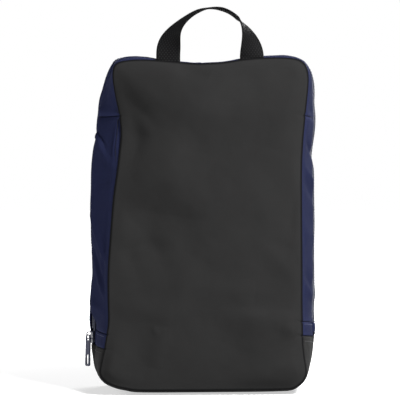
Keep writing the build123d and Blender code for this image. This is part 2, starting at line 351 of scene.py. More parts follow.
def heel_drop(y):
    """The bottom comes down to the floor soon after the back seam, so the back edge is rounded."""
    from_back = y - BACK_Y
    straight = 1 - between(y, BACK_Y, ZIP_BACK_Y)
    return HEEL * np.maximum(0, straight - np.exp(-from_back / HEEL_ROUND))


def drawn_in(x, z):
    """How far the back of the bag is drawn in at a place, by its seams."""
    total = np.zeros(np.shape(x))
    for side, way in (("left", -1), ("right", 1)):
        rail = np.array([point for point in RAILS[side][0] if 40 < point[1] < 343])
        edge = np.interp(z, rail[:, 1], np.abs(rail[:, 0]))
        depth = sum(most * bell(z - centre, spread) for centre, spread, most in SEAM_SINK[side])
        total += depth * np.exp(-(edge - way * x).clip(0) / SINK_ON_PANEL)
    return total


def shell_side(side):
    """Every point of one half of the gusset and boot, from the back seam to the front seam."""
    edges = zip(RAILS[side], BOOT_EDGE[side], BAND_EDGE[side])
    keys = np.array([cut_rail(rail, BOOT_Z + boot, BAND_Z + band) for rail, boot, band in edges])
    table = np.empty((keys.shape[1], len(DEPTHS), 3))
    table[:, :, 1] = DEPTHS
    for axis, part in ((0, 0), (2, 1)):
        table[:, :, axis] = [np.interp(DEPTHS, RAIL_Y, row) for row in keys[:, :, part].T]
    table[:, :, 2] -= heel_drop(DEPTHS) * bell(table[:, :, 2], 16)
    table = smoothed(table)
    table = table + surface_normals(table, side) * shell_lift(table, side)[:, :, None]
    table[:, :, 1] += drawn_in(table[:, :, 0], table[:, :, 2]) * np.exp(-(DEPTHS - BACK_Y) / SINK_ON_GUSSET)
    return table


def shell_lift(p, side):
    """How far each point of the gusset stands out from the plain shell."""
    x, y, z = np.moveaxis(p, 2, 0)
    behind_zip, before_zip = y < ZIP_BACK_Y, y > RIDGE_Y
    body, lid = between(y, BACK_Y, ZIP_BACK_Y), between(y, RIDGE_Y, FRONT_Y)
    arch = np.sin(np.pi * body) * behind_zip
    lift = PUFF["body"] * arch + PUFF["lid"] * np.sin(np.pi * lid) * before_zip
    beyond, low_end, high_end = ROLL[side]
    ridge, here = (np.abs(x[:, column(at)])[:, None] for at in (RIDGE_Y, ROLL_Y))
    gap = (ridge - here + beyond - PUFF["body"] * 0.6).clip(0)
    along_side = ramp(z, low_end, 5) * ramp(z, high_end, -8)
    lift += gap * np.sin(np.pi * body**3) * along_side * behind_zip
    below_top = ramp(z, SIDE_TOP, -4)
    lift -= (TOP_SAG + TOP_SAG_MIDDLE * bell(x, HANDLE_REACH, 4)) * (1 - below_top) * arch
    for item in SIDE_FOLDS[side] + LID_FOLDS:
        lift += fold(y, z, *item) * below_top
    along = lengths(p[:, 20])[:, None].repeat(p.shape[1], 1)
    lift += unevenness(along, y, GUSSET_RIPPLES, GUSSET_SEED[side])
    lift *= (1 - bell(y - ZIP_Y, ZIP_CALM, 4)) * ramp(z, *FLOOR_CALM)
    seam = np.minimum(y - BACK_Y, FRONT_Y - y).clip(0)
    dip = SEAM_DIP * bell(seam, 1.1, 1.3)
    return lift * (1 - bell(seam, 5)) - dip - seam_grooves(y, along)


def seam_grooves(y, along):
    """Depth of the grooves where the boot, the band and the gusset pieces are sewn together."""
    groove = np.zeros(y.shape)
    for segment, depth, width in GROOVES:
        reach = y < ZIP_Y if segment == "side" else 1
        groove += depth * bell(along - along[ROWS[segment][1], 0], width) * reach
    return groove * (1 - 0.75 * bell(y - ZIP_Y, 9, 4))


SHELL = {side: shell_side(side) for side in ("left", "right")}
NORMALS = {side: surface_normals(SHELL[side], side) for side in SHELL}
BODY = slice(0, column(BODY_EDGE_Y) + 1)  # the shell's columns behind the zip
LID = slice(column(LID_EDGE_Y), len(DEPTHS))  # and before it


# ---- meshes
UV_MM = 100  # millimetres of cloth for one unit of its UV map
SEAM_SHADE = 3  # how far the "seam" attribute reaches from an edge; it places the painted shade in the seams and the wear beside them


def link(thing):
    bpy.context.scene.collection.objects.link(thing)
    return thing


def mesh_object(name, vertices, faces, *materials, uv=None, seam=None):
    """A smooth-shaded object from millimetre vertices. uv is in millimetres along the cloth's threads."""
    mesh = bpy.data.meshes.new(name)
    mesh.from_pydata((np.asarray(vertices) * MM).tolist(), [], faces)
    mesh.shade_smooth()
    if uv is not None:
        layer = mesh.uv_layers.new(name="cloth")
        loops = np.empty(len(mesh.loops), np.int32)
        mesh.loops.foreach_get("vertex_index", loops)
        layer.data.foreach_set("uv", (np.asarray(uv)[loops] / UV_MM).astype(np.float32).ravel())
    if seam is not None:
        attribute = mesh.attributes.new("seam", "FLOAT", "POINT")
        attribute.data.foreach_set("value", np.asarray(seam, np.float32).ravel())
    for material in materials:
        mesh.materials.append(material)
    mesh.update()
    return link(bpy.data.objects.new(name, mesh))


def grid_faces(rows, columns, flip=False):
    """Quads of a grid of rows by columns points."""
    k = np.arange(rows * columns).reshape(rows, columns)
    quads = np.stack([k[:-1, :-1], k[1:, :-1], k[1:, 1:], k[:-1, 1:]], -1).reshape(-1, 4)
    return (quads[:, ::-1] if flip else quads).tolist()


def ring_faces(rings, count):
    """Quads between closed rings of count points that follow each other."""
    starts = range(0, (rings - 1) * count, count)
    edges = [(start + k, start + (k + 1) % count) for start in starts for k in range(count)]
    return [[a, b, b + count, a + count] for a, b in edges]


def grid_object(name, p, flip=False):
    """A cloth piece from a grid of points, with its thread coordinates and its seam nearness."""
    rows, columns = p.shape[:2]
    length = np.cumsum(np.linalg.norm(np.diff(p, axis=0, prepend=p[:1]), axis=2), axis=0)
    length = length[:, :1].repeat(columns, 1)
    width = np.cumsum(np.linalg.norm(np.diff(p, axis=1, prepend=p[:, :1]), axis=2), axis=1)
    near = np.minimum(np.minimum(length, length[-1:] - length), np.minimum(width, width[:, -1:] - width))
    uv = np.stack([length, width], -1).reshape(-1, 2)
    faces = grid_faces(rows, columns, flip)
    return mesh_object(name, p.reshape(-1, 3), faces, uv=uv, seam=np.exp(-near / SEAM_SHADE))


def tube_mesh(path, radius, sides=6):
    """Vertices and faces of a round tube with closed ends along a path of points."""
    tangent = unit(np.gradient(path, axis=0))
    reference = np.where(np.abs(tangent[:, :1]) < 0.9, [[1, 0, 0]], [[0, 1, 0]])
    a = unit(np.cross(tangent, reference))
    b = np.cross(tangent, a)
    angle = np.linspace(0, 2 * np.pi, sides, endpoint=False)
    r = np.broadcast_to(np.asarray(radius, float), (len(path),))[:, None, None]
    ring = a[:, None] * np.cos(angle)[None, :, None] + b[:, None] * np.sin(angle)[None, :, None]
    vertices = (path[:, None] + ring * r).reshape(-1, 3)
    first = list(range(sides))
    last = [len(vertices) - sides + k for k in first]
    return vertices, ring_faces(len(path), sides) + [first[::-1], last]


def joined(parts):
    """Several (vertices, faces) as one."""
    vertices, faces, start = [], [], 0
    for v, f in parts:
        vertices.append(v)
        faces += [[start + k for k in face] for face in f]
        start += len(v)
    return np.vstack(vertices), faces


def stitch_row(name, path, normal, material, pitch=3.2, length=2.5, radius=0.26, lift=0.12):
    """A row of lockstitches along a path: each stitch rises out of the cloth and dives back in."""
    along = lengths(path)
    t = np.linspace(0, 1, 5)
    hump = np.sin(np.pi * t)
    rise = lift + radius * (hump * 1.4 - 0.9)
    parts = []
    for start in np.arange(pitch / 2, along[-1] - length, pitch):
        at = start + t * length
        line = read(at, along, path) + read(at, along, normal) * rise[:, None]
        parts.append(tube_mesh(line, radius * (0.65 + 0.35 * hump)))
    return mesh_object(name, *joined(parts), material)


# ---- materials
class Nodes:
    """A node tree under construction."""

    def __init__(self, tree):
        self.tree = tree

    def node(self, kind, setting=None, **inputs):
        """A node with one (name, value) setting if any, fed by sockets or plain values."""
        made = self.tree.nodes.new("ShaderNode" + kind)
        if setting:
            setattr(made, *setting)
        for key, value in inputs.items():
            self.feed(made.inputs[key.replace("_", " ")], value)
        return made

    def feed(self, socket, value):
        if isinstance(value, bpy.types.NodeSocket):
            self.tree.links.new(value, socket)
        else:
            socket.default_value = (*value, 1) if socket.type == "RGBA" else value

    def math(self, operation, *values):
        made = self.node("Math", ("operation", operation))
        for socket, value in zip(made.inputs, values):
            self.feed(socket, value)
        return made.outputs[0]

    def smooth_range(self, value, *limits):
        """A value moved smoothly from one range (two limits) to another (two more)."""
        made = self.node("MapRange", ("interpolation_type", "SMOOTHSTEP"), Value=value)
        for socket, limit in zip(("From Min", "From Max", "To Min", "To Max"), limits):
            made.inputs[socket].default_value = limit
        return made.outputs[0]


class Shader(Nodes):
    """A node material under construction."""

    def __init__(self, name, specular, **sockets):
        self.material = bpy.data.materials.new(name)
        self.material.use_nodes = True
        super().__init__(self.material.node_tree)
        self.surface = self.tree.nodes["Principled BSDF"]
        self.feed(self.surface.inputs["Specular IOR Level"], specular)
        for socket, value in sockets.items():
            self.feed(self.surface.inputs[socket.replace("_", " ")], value)

    def scaled(self, vector, factor):
        return self.node("VectorMath", ("operation", "SCALE"), Vector=vector, Scale=factor).outputs[0]

    def threads(self):
        """Coordinates along the cloth's threads, in millimetres: vector, u and v."""
        place = self.scaled(self.node("UVMap", ("uv_map", "cloth")).outputs[0], UV_MM)
        split = self.node("SeparateXYZ", Vector=place)
        return place, split.outputs[0], split.outputs[1]

    def object_mm(self):
        """Coordinates in the object's own space, in millimetres."""
        return self.scaled(self.node("TexCoord").outputs["Object"], 1000)

    def stretched(self, place, *scale):
        return self.node("Mapping", Vector=place, Scale=scale).outputs[0]

    def noise(self, vector, size, detail=3, roughness=0.55):
        """Noise between 0 and 1 whose features are about size millimetres wide."""
        made = self.node("TexNoise", Vector=vector, Scale=1 / size, Detail=detail, Roughness=roughness)
        return made.outputs["Fac"]

    def mix(self, share, a, b):
        """Colour a, turning into b as the share goes from 0 to 1."""
        return self.node("Mix", ("data_type", "RGBA"), Factor=share, A=a, B=b).outputs["Result"]

    def ranged(self, value, low_value, high_value):
        """A 0 to 1 value moved into a range."""
        return self.math("MULTIPLY_ADD", value, high_value - low_value, low_value)

    def bump(self, height, distance_mm, strength=1, under=None):
        normal = {} if under is None else {"Normal": under}
        distance = distance_mm * MM
        return self.node("Bump", Height=height, Strength=strength, Distance=distance, **normal).outputs[0]

    def wave(self, value, pitch):
        """Sine wave with half a turn for each pitch."""
        return self.math("SINE", self.math("MULTIPLY", value, math.pi / pitch))

    def plain_weave(self, u, v, pitch):
        """Height of a plain weave: threads pass over and under each other."""
        a, b = self.wave(u, pitch), self.wave(v, pitch)
        return self.math("MULTIPLY_ADD", self.math("MULTIPLY", a, b), 0.5, 0.5)

    def seam_nearness(self):
        """1 at a seam, falling towards 0 away from it."""
        return self.node("Attribute", ("attribute_name", "seam")).outputs["Fac"]

    def painted_seam_shade(self, most):
        """Painted shade of a seam's groove: 1 times most inside a seam, 0 from about 1.5 mm away."""
        near = self.math("MULTIPLY_ADD", self.seam_nearness(), 4.5, -3.2)
        return self.math("MULTIPLY", self.math("MINIMUM", self.math("MAXIMUM", near, 0), 1), most)

    def rubbed(self, most):
        """Wear on the raised cloth beside a seam."""
        return self.math("MULTIPLY", self.seam_nearness(), most)

    def finish(self, color=None, roughness=None, normal=None):
        for socket, value in (("Base Color", color), ("Roughness", roughness), ("Normal", normal)):
            if value is not None:
                self.feed(self.surface.inputs[socket], value)
        return self.material


def coated_cloth():
    """Black coated cloth: fine grain over a trace of weave, with painted shade in its seams, and rubbed beside
    them.
    """
    s = Shader("coated_cloth", 0.014)
    place, u, v = s.threads()
    patches = s.noise(place, 38, 4)
    scuffs = s.noise(place, 7, 5, 0.7)
    grain = s.noise(place, 0.55, 4, 0.65)
    base = s.mix(patches, (0.0104, 0.0103, 0.0103), (0.0142, 0.0141, 0.014))
    rubbed = s.mix(s.rubbed(0.12), base, (0.027, 0.027, 0.028))
    speckled = s.mix(s.math("MULTIPLY", grain, 0.3), rubbed, (0.025, 0.025, 0.0252))
    # painted shade: the cloth turns near-black inside its seams
    shaded = s.mix(s.painted_seam_shade(0.75), speckled, (0.0012, 0.0012, 0.0015))
    rough = s.math("ADD", s.ranged(scuffs, 0.6, 0.78), s.ranged(grain, -0.03, 0.03))
    weave = s.bump(s.plain_weave(u, v, 0.62), 0.05, 0.5)
    creases = s.bump(s.noise(place, 5.5, 3), 0.35, 0.3, weave)
    return s.finish(shaded, rough, s.bump(grain, 0.09, 0.75, creases))


def woven_cloth():
    """Navy woven polyester with slubs, a painted highlight on its raised threads and painted shade in its
    seams, rubbed beside them.
    """
    s = Shader("woven_cloth", 0.014)
    place, u, v = s.threads()
    patches = s.noise(place, 30, 4)
    slubs = s.noise(s.stretched(place, 0.12, 2.2, 1), 1, 2)
    weave = s.plain_weave(u, v, 0.5)
    base = s.mix(patches, (0.006, 0.0076, 0.021), (0.009, 0.0109, 0.028))
    # painted highlight: the raised threads of the weave are lighter
    threads = s.mix(s.math("MULTIPLY", weave, 0.45), base, (0.0165, 0.0195, 0.053))
    worn = s.mix(s.rubbed(0.35), threads, (0.026, 0.031, 0.078))
    # painted shade: the cloth turns near-black inside its seams
    shaded = s.mix(s.painted_seam_shade(0.9), worn, (0.0012, 0.0014, 0.004))
    rough = s.ranged(slubs, 0.78, 0.92)
    relief = s.bump(weave, 0.12, 0.8, s.bump(s.noise(place, 6, 3), 0.4, 0.35))
    return s.finish(shaded, rough, s.bump(slubs, 0.05, 0.5, relief))


def inside_cloth(name, dark, pale, shine):
    """Coated reverse of a cloth: smoother than its face, with a faint grid of the threads."""
    s = Shader(name, 0.08)
    place, u, v = s.threads()
    base = s.mix(s.noise(place, 22, 4), dark, pale)
    rough = s.ranged(s.noise(place, 9), shine, shine + 0.15)
    weave = s.bump(s.plain_weave(u, v, 0.5), 0.06, 0.6)
    return s.finish(base, rough, s.bump(s.noise(place, 4, 3), 0.3, 0.4, weave))


def webbing():
    """Black polyester webbing: each rib is a bundle of fine filaments."""
    s = Shader("webbing", 0.03)
    place, u, v = s.threads()
    filaments = s.noise(s.stretched(place, 0.5, 5, 1), 1, 3)
    base = s.mix(filaments, (0.0012, 0.0012, 0.0013), (0.004, 0.004, 0.0042))
    picks_on_ribs = s.math("MULTIPLY", s.wave(u, PICK_PITCH), s.wave(v, RIB_PITCH))
    raised = s.math("MAXIMUM", s.math("MULTIPLY_ADD", picks_on_ribs, 2, -0.6), 0)
    dotted = s.mix(s.math("MINIMUM", raised, 1), base, (0.017, 0.017, 0.0175))
    return s.finish(dotted, s.ranged(filaments, 0.5, 0.7), s.bump(filaments, 0.08, 0.8))


def zip_tape():
    """Navy twill tape."""
    s = Shader("zip_tape", 0.1)
    place, u, v = s.threads()
    height = s.ranged(s.wave(s.math("ADD", u, v), 0.45), 0.5, 1)
    base = s.mix(s.math("MULTIPLY", height, 0.5), (0.003, 0.004, 0.012), (0.009, 0.011, 0.03))
    return s.finish(base, s.ranged(s.noise(place, 3), 0.6, 0.75), s.bump(height, 0.1, 0.8))


def zip_coil():
    """Glossy navy nylon."""
    s = Shader("zip_coil", 0.55, Coat_Weight=0.15, Coat_Roughness=0.25)
    spread = s.noise(s.object_mm(), 2, 2)
    base = s.mix(spread, (0.012, 0.014, 0.034), (0.024, 0.028, 0.06))
    return s.finish(base, s.ranged(spread, 0.28, 0.42))


def zip_metal():
    """Navy enamel on die-cast metal, with small scratches and a fine orange peel."""
    s = Shader("zip_metal", 0.3, Metallic=0.15, Coat_Weight=0.08, Coat_Roughness=0.25)
    place = s.object_mm()
    scratches = s.noise(s.stretched(place, 3, 3, 0.25), 0.5, 4, 0.8)
    base = s.mix(scratches, (0.008, 0.011, 0.03), (0.02, 0.025, 0.058))
    relief = s.bump(s.noise(place, 0.8, 2), 0.02, 0.5)
    return s.finish(base, s.ranged(scratches, 0.22, 0.5), s.bump(scratches, 0.015, 0.5, relief))


def thread(name, dark, pale):
    """Twisted sewing thread."""
    s = Shader(name, 0.2)
    place = s.object_mm()
    twist = s.noise(place, 0.35, 2)
    return s.finish(s.mix(twist, dark, pale), s.ranged(twist, 0.5, 0.7), s.bump(twist, 0.05, 0.7))


def binding_tape():
    """Ribbed grosgrain tape."""
    s = Shader("binding_tape", 0.12)
    place, u, _ = s.threads()
    ribs = s.ranged(s.wave(u, 0.45), 0.5, 1)
    base = s.mix(s.noise(place, 12), (0.004, 0.0045, 0.007), (0.009, 0.01, 0.014))
    return s.finish(base, s.ranged(ribs, 0.55, 0.7), s.bump(ribs, 0.15, 0.8))


def studio_floor():
    """Pale floor with a faint mottle. Its emission paints light on it: dimmer near the bag and far in front of
    it, brighter further away, like a lit studio sweep.
    """
    s = Shader("studio_floor", 0, Roughness=1, Emission_Color=(1, 1, 1))
    place = s.object_mm()
    away = s.node("VectorMath", ("operation", "LENGTH"), Vector=place).outputs["Value"]
    painted_glow = s.smooth_range(away, 200, 900, 0.55, 1.05)
    front = s.smooth_range(s.node("SeparateXYZ", Vector=place).outputs["Y"], -1000, -150, 0, 1)
    painted_floor_light = s.math("MULTIPLY_ADD", s.math("SUBTRACT", painted_glow, 0.25), front, 0.25)
    # painted light: the floor's own glow, weaker near the bag and far in front of it
    s.feed(s.surface.inputs["Emission Strength"], painted_floor_light)
    return s.finish(s.mix(s.noise(place, 900, 2), (0.56, 0.56, 0.56), (0.6, 0.6, 0.6)))


COATED, WOVEN = coated_cloth(), woven_cloth()
INSIDE_BLACK = inside_cloth("inside_of_coated_cloth", (0.012, 0.012, 0.013), (0.02, 0.02, 0.021), 0.65)
INSIDE_NAVY = inside_cloth("inside_of_woven_cloth", (0.012, 0.014, 0.026), (0.02, 0.023, 0.04), 0.6)
WEBBING, TAPE, COIL, METAL, BINDING = webbing(), zip_tape(), zip_coil(), zip_metal(), binding_tape()
NAVY_THREAD = thread("navy_thread", (0.012, 0.016, 0.042), (0.04, 0.048, 0.1))
BLACK_THREAD = thread("black_thread", (0.01, 0.01, 0.011), (0.04, 0.04, 0.042))


# ---- placing pieces
def named(piece, nodes):
    """Hides the CAD nodes that a piece replaces."""
    if nodes:
        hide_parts(*nodes)
    return piece


def on_body(piece, slot, *nodes):
    """A piece of the bag's fixed part."""
    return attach(named(piece, nodes), "root")


def on_lid(piece, slot, *nodes):
    """A piece of the lid, with its place baked into its mesh."""
    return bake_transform(named(piece, nodes))


CLOTHS = {  # face and reverse
    "woven_cloth": (WOVEN, INSIDE_NAVY),
    "coated_cloth": (COATED, INSIDE_BLACK),
    "zip_tape": (TAPE, TAPE),
    "binding": (BINDING, BINDING),
}


def sew(piece, place, cloth, *nodes, thickness=CLOTH):
    """Makes a sheet into cloth, with a face, a reverse and a thickness, and puts it in place."""
    for material in CLOTHS[cloth]:
        piece.data.materials.append(material)
    solid = piece.modifiers.new("thickness", "SOLIDIFY")
    solid.thickness = thickness * MM
    solid.offset = -1
    solid.use_even_offset = False
    solid.material_offset = 1
    place(piece, cloth, *nodes)


def rows_of(*segments):
    """Slice of the shell rows that these segments cover."""
    return slice(ROWS[segments[0]][0], ROWS[segments[-1]][1] + 1)


def strip(side, rows, columns, lift=0):
    """Points of part of the shell, lifted along the normals."""
    return SHELL[side][rows, columns] + NORMALS[side][rows, columns] * lift


# ---- gusset, bands, boot and base
SEAM_TAPE_DEPTH = 1.3  # the tapes inside lie against the cloth's inner face
# (name, segments, columns, lift, thickness, place, cloth) of the strips on each side
SIDE_STRIPS = [
    ("side_gusset", ["side"], BODY, 0, CLOTH, on_body, "woven_cloth"),
    ("side_band", ["band"], BODY, 0.5, CLOTH + 0.5, on_body, "woven_cloth"),
    ("lid_gusset", ["band", "side"], LID, 0, CLOTH, on_lid, "woven_cloth"),
    ("boot", ["boot"], slice(None), 0, CLOTH + 0.3, on_body, "coated_cloth"),
]


def gusset_pieces():
    """The gusset, band and boot on each side, and the two halves of the gusset over the top."""
    for side in SHELL:
        for name, segments, columns, lift, thickness, place, cloth in SIDE_STRIPS:
            grid = strip(side, rows_of(*segments), columns, lift)
            piece = grid_object(f"{name}_{side}_cloth", grid, side == "right")
            sew(piece, place, cloth, f"{name}_{side}", thickness=thickness)
    for name, columns, place in (("top_gusset", BODY, on_body), ("lid_gusset_top", LID, on_lid)):
        left, right = (strip(side, rows_of("top"), columns) for side in SHELL)
        grid = np.concatenate([left, right[::-1][1:]])
        sew(grid_object(f"{name}_cloth", grid), place, "woven_cloth", name)


def seam_tapes():
    """Grosgrain tapes over the cross seams inside: at the base, along the band and at the shoulders."""
    base, boot, band, shoulder = (ROWS[name][1] for name in ("floor", "boot", "band", "side"))
    for side in SHELL:
        for name, rows, columns, place in (
            ("base", (base - 4, base + 6), slice(2, -2), on_body),
            ("band", (boot - 4, band + 5), slice(1, BODY.stop - 1), on_body),
            ("shoulder", (shoulder - 3, shoulder + 5), slice(1, BODY.stop - 3), on_body),
            ("lid_shoulder", (shoulder - 3, shoulder + 5), slice(LID.start + 3, LID.stop - 4), on_lid),
        ):
            grid = strip(side, slice(*rows), columns, -SEAM_TAPE_DEPTH)
            piece = grid_object(f"seam_tape_{name}_{side}", grid, side == "right")
            sew(piece, place, "binding", thickness=0.8)


def base_piece():
    """Flat bottom between the two boot sides."""
    left, right = (strip(side, rows_of("floor"), slice(None)) for side in SHELL)
    piece = grid_object("base_cloth", np.concatenate([right[::-1], left[1:]]))
    sew(piece, on_body, "coated_cloth", "base_panel", thickness=CLOTH + 0.6)


# ---- back, lid and front boot panels
# how a panel's edge rolls at its seam: (outwards in the panel's plane, out of the bag, share of seam shade)
LIP = [
    (0, 0, 1), (0.7, 0.15, 1), (1.2, 0.6, 1), (1.3, 1.2, 1), (0.9, 1.75, 1), (0, 2.15, 0.92),
    (-1.4, 2.4, 0.72), (-3.2, 2.55, 0.5), (-5.2, 2.65, 0.3),
]
PANEL_SPACING = 2  # between the points inside a panel
PANEL_RIPPLES = [(2, 52), (0.7, 24), (0.2, 11)]  # (height, scale)
CROWN_WIDTH = 22  # how far from the seam a panel reaches most of its bulge
SEAM_REACH = 9  # how far from the seam a panel follows the seam's depth
DENT_FADE, RISE_FADE = 15, 6  # how far from the seam dents and rises begin

BACK_FOLDS = [
    ((-77, 300), (-54, 268), 6.5, 2.2),
    ((-31, 343), (6, 330), 8, -3),
    ((98, 330), (74, 250), 12, 2.4),
    ((2, 112), (54, 104), 11, 2.2),
    ((-92, 92), (-30, 84), 11, 1.8),
    ((-44, 74), (-54, 26), 11, 2.6),
    ((78, 72), (108, 62), 8, 2.6),
    ((-53, 71), (-50, 63), 2.6, 0.9),
    ((102, 216), (86, 156), 8, -2),
    ((58, 156), (100, 112), 11, 2, 0.2),
    ((-6, 146), (-50, 50), 12, 2),
    ((24, 262), (72, 166), 18, 2.4),
]
BACK_STEPS = [
    ((-97, 324), (-55, 286), 5.2, 10.5, 40),
    ((-92, 276), (-62, 270), 4.6, 7, 30),
    ((-92, 180), (-38, 220), 6, 7.5, 30),
    ((-68, 192), (-4, 182), 7, 5.6, 28),
    ((-90, 147), (-44, 164), 5.6, 8, 26),
    ((30, 86), (108, 83), 3.2, -5.6, 26),
    ((44, 25), (108, 36), 4.6, -5.5, 24),
]
BACK_MOUNDS = [
    ((8, 299), (52, 30), 8.4),
    ((76, 306), (32, 34), 2.6),
    ((-40, 236), (26, 44), 4.6),
    ((14, 190), (80, 150), 4.2),
    ((-108, 26), (28, 28), 6),
    ((84, 28), (26, 16), 2),
]
LID_PANEL_FOLDS = [
    ((-80, 330), (-30, 290), 8, -3, 0.2),
    ((84, 322), (40, 286), 7, -2.6),
    ((-96, 210), (-50, 190), 6.5, -2.6),
    ((-92, 226), (-40, 204), 6.5, 2),
    ((98, 176), (52, 150), 6, -2.6, 0.2),
    ((96, 190), (48, 166), 6, 1.8),
    ((-60, 120), (20, 100), 8, 2.4),
    ((-50, 104), (30, 84), 7, -2.2),
    ((-100, 78), (-60, 96), 6, 2),
    ((100, 84), (60, 104), 6, 2),
    ((-20, 236), (50, 216), 9, -2.4),
    ((10, 270), (60, 262), 7, 1.8),
]
LID_PANEL_STEPS = [((-98, 236), (-40, 262), 4, 1.8, 24), ((100, 130), (44, 152), 4, 1.6, 24)]
LID_PANEL_MOUNDS = [((0, 200), (70, 90), 3), ((0, 320), (60, 20), 1), ((60, 70), (40, 16), -1)]
BOOT_STEPS = [((96, 34), (40, 24), 3.5, 0.8, 14)]
BOOT_FOLDS = [((-70, 36), (-20, 22), 7, 1), ((76, 30), (30, 18), 7, -1)]
# (how far it bulges, folds, steps, mounds, seed of the unevenness)
RELIEF = {
    "back_panel": (2, BACK_FOLDS, BACK_STEPS, BACK_MOUNDS, 21),
    "lid_panel": (3, LID_PANEL_FOLDS, LID_PANEL_STEPS, LID_PANEL_MOUNDS, 33),
    "boot_front": (1.4, BOOT_FOLDS, BOOT_STEPS, [], 41),
}
# the line that a panel's edge moves towards as it rolls in
CORE = {
    "back_panel": ((0, 110), (0, 240)),
    "lid_panel": ((0, 150), (0, 250)),
    "boot_front": ((-84, 26), (84, 26)),
}
FOLD_SEAM = 0.12  # how much a straight seam between two panels rolls, against 1 at a gusset
FRONT_BULGE = 1.2  # how far the seam along the lid's fold stands out


def nearest_edge(points, loop):
    """Distance of each flat point from a closed loop of points, and the number of the nearest one."""
    distance, number = np.empty(len(points)), np.empty(len(points), int)
    for start in range(0, len(points), 4000):
        part = slice(start, start + 4000)
        square = ((points[part, None] - loop[None]) ** 2).sum(2)
        number[part] = square.argmin(1)
        distance[part] = np.sqrt(square.min(1))
    return distance, number


def points_inside(loop, spacing):
    """Points of a triangular grid inside a closed loop, a little away from it."""
    (x0, z0), (x1, z1) = loop.min(0), loop.max(0)
    rows = np.arange(z0, z1, spacing * 0.87)
    columns = np.arange(x0, x1, spacing)
    grid = np.array([(x + spacing / 2 * (k % 2), z) for k, z in enumerate(rows) for x in columns])
    after = np.roll(loop, -1, 0)
    inside = np.zeros(len(grid), bool)
    for (ax, az), (bx, bz) in zip(loop, after):
        crossing = (az > grid[:, 1]) != (bz > grid[:, 1])
        if az != bz:
            inside ^= crossing & (grid[:, 0] < ax + (grid[:, 1] - az) * (bx - ax) / (bz - az))
    grid = grid[inside]
    return grid[nearest_edge(grid, loop)[0] > spacing * 0.6]


def triangles_inside(loop, grid):
    """Triangles that join a closed loop and the grid points inside it."""
    count = len(loop)
    places = [Vector(point) for point in np.concatenate([loop, grid])]
    edges = [(k, (k + 1) % count) for k in range(count)]
    _, _, faces, numbers, _, _ = geometry.delaunay_2d_cdt(places, edges, [], 1, 1e-6)
    return [[numbers[corner][0] for corner in face] for face in faces]


def nearest_on_segment(points, a, b):
    """Points of the segment from a to b that are nearest to some points."""
    a, b = np.array(a, float), np.array(b, float)
    d = b - a
    t = np.clip(((points - a) @ d) / (d @ d), 0, 1)
    return a + t[:, None] * d


def panel_relief(flat, distance, crown, folds, steps, mounds, seed):
    """How far each point of a panel stands out: a crown, its folds, and small unevenness."""
    x, z = flat[:, 0], flat[:, 1]
    height = crown * (1 - np.exp(-distance / CROWN_WIDTH))
    for shape, items in ((fold, folds), (step_down, steps), (mound, mounds)):
        for item in items:
            height += shape(x, z, *item)
    height += unevenness(x, z, PANEL_RIPPLES, seed)
    return height * (1 - bell(distance, np.where(height < 0, DENT_FADE, RISE_FADE)))


def panel(name, seam, sewn, outwards, level, sag=None):
    """A panel inside a closed seam line. seam is (n, 3) points, and sewn says how much its edge rolls.
    outwards is the way out of the bag along y, and sag is how far a place is drawn in."""
    flat = seam[:, [0, 2]]
    count = len(flat)
    inwards = unit(nearest_on_segment(flat, *CORE[name]) - flat)
    rings = [flat - inwards * (out * np.where(out > 0, sewn, 1))[:, None] for out, _, _ in LIP]
    grid = points_inside(rings[-1], PANEL_SPACING)
    points = np.concatenate(rings + [grid])
    distance, number = nearest_edge(points, flat)
    near = np.exp(-distance / SEAM_SHADE)
    near[: len(rings) * count] = np.repeat([shade for _, _, shade in LIP], count)
    rises = np.repeat([rise for _, rise, _ in LIP], count)
    height = np.append(rises, np.full(len(grid), LIP[-1][1])) + panel_relief(points, distance, *RELIEF[name])
    y = np.full(len(points), level)
    offset = seam[number, 1] - level
    if sag:
        y += sag(points[:, 0], points[:, 1])
        offset -= sag(flat[number, 0], flat[number, 1])
    y += offset * np.exp(-distance / SEAM_REACH)
    vertices = np.stack([points[:, 0], y + outwards * height, points[:, 1]], 1)
    faces = ring_faces(len(rings), count)
    signed = np.sum(flat[:, 0] * np.roll(flat[:, 1], -1) - np.roll(flat[:, 0], -1) * flat[:, 1])
    if (signed > 0) != (outwards < 0):
        faces = [face[::-1] for face in faces]
    start = (len(rings) - 1) * count
    faces += [[start + k for k in face][::-outwards] for face in triangles_inside(rings[-1], grid)]
    return mesh_object(f"{name}_cloth", vertices, faces, uv=points, seam=near)


def close_tube(piece):
    """Joins a tube's first and last column of points and closes its two ends."""
    made = bmesh.new()
    made.from_mesh(piece.data)
    bmesh.ops.remove_doubles(made, verts=made.verts[:], dist=0.01 * MM)
    bmesh.ops.holes_fill(made, edges=[edge for edge in made.edges if edge.is_boundary], sides=0)
    made.to_mesh(piece.data)
    made.free()


def back_panel():
    left, right = (SHELL[side][:, 0] for side in SHELL)
    seam = np.concatenate([left, right[-2:0:-1]])
    piece = panel("back_panel", seam, np.ones(len(seam)), -1, BACK_Y, drawn_in)
    sew(piece, on_body, "coated_cloth", "back_panel")


def fold_line(first, last):
    """Straight seam along the lid's fold from one point to another, closer together near its ends."""
    line = resampled(np.array([first, last]), 150, 0.4)[1:-1]
    number = np.arange(len(line))
    share = np.minimum(1, np.minimum(number, number[::-1]) / 8)
    line[:, 1] += (FRONT_Y + FRONT_BULGE - line[:, 1]) * share
    return line


